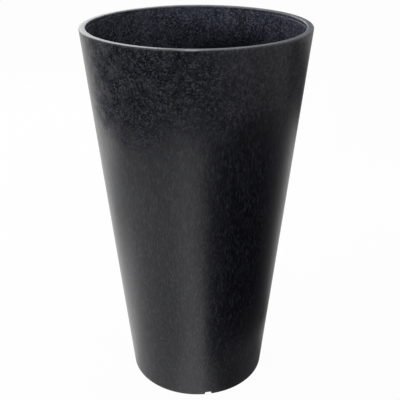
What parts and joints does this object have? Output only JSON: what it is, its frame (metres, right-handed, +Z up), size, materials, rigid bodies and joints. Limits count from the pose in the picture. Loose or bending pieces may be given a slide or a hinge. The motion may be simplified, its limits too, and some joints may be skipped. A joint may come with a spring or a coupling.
{
  "type": "tall tapered floor planter",
  "caption": "Tall tapered round floor planter in dark speckled composite, with a flat rim, a notched foot ring, a raised drain floor, a pull-out plug and a lift-out planting shelf.",
  "frame": {"origin": "on the surface that the planter stands on, at the centre of the foot ring", "axes": "+Z up along the pot's axis; a drain notch of the foot ring lies on each of +X, -X, +Y and -Y"},
  "size_m": [0.4059, 0.4058, 0.7112],
  "materials": {
    "shell_composite": "charcoal stone-filled fibreglass composite, satin, with pale mineral speckle and fine vertical drag marks",
    "floor_laminate": "charcoal fibreglass laminate, matt, with the glass mat's texture",
    "bonding_resin": "dark resin, semi-gloss, tooled to a cove",
    "plug_rubber": "black rubber, matt",
    "shelf_plastic": "dark grey moulded plastic, fine grain"
  },
  "bodies": {
    "planter": {"planter_shell": "shell_composite", "floor_panel": "floor_laminate", "floor_bead_upper": "bonding_resin", "floor_bead_lower": "bonding_resin"},
    "plug": {"drain_plug": "plug_rubber"},
    "shelf": {"planting_shelf": "shelf_plastic"}
  },
  "joints": [
    {"name": "shelf_lift", "type": "slide", "parent": "planter", "child": "shelf", "axis": [0, 0, 1], "range_m": [0, 0.36]},
    {"name": "plug_pull", "type": "slide", "parent": "planter", "child": "plug", "axis": [0, 0, 1], "range_m": [0, 0.8]}
  ]
}
